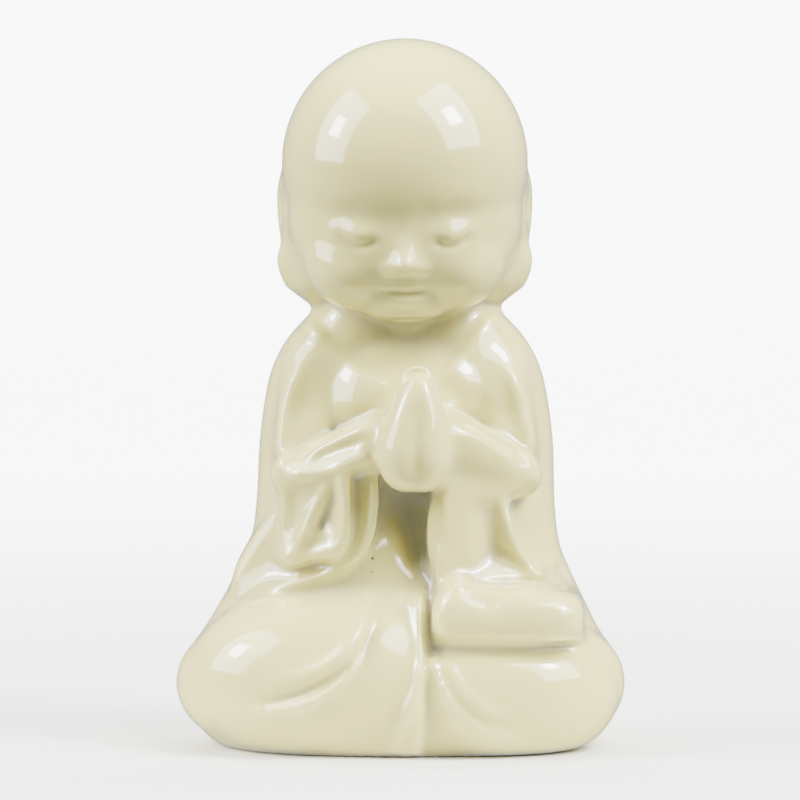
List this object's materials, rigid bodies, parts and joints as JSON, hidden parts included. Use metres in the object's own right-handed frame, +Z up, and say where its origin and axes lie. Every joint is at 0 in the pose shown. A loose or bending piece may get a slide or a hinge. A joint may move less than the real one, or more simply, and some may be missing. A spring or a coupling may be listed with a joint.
{
  "type": "seated child figurine",
  "caption": "Glazed porcelain figurine of a shaven-headed child in a draped robe, seated cross-legged with palms pressed together before the chest.",
  "frame": {"origin": "on the flat underside, below the middle of the figurine's width and depth", "axes": "+Z up along the figurine's height, -Y the way it faces, +X to the right as seen from the front"},
  "size_m": [0.0634, 0.0436, 0.1],
  "materials": {
    "cream_glaze": "warm cream porcelain glaze, glossy and smooth, pooled a little yellower in the folds, with a bare matt underside"
  },
  "bodies": {
    "root": {"figurine": "cream_glaze"}
  },
  "joints": []
}
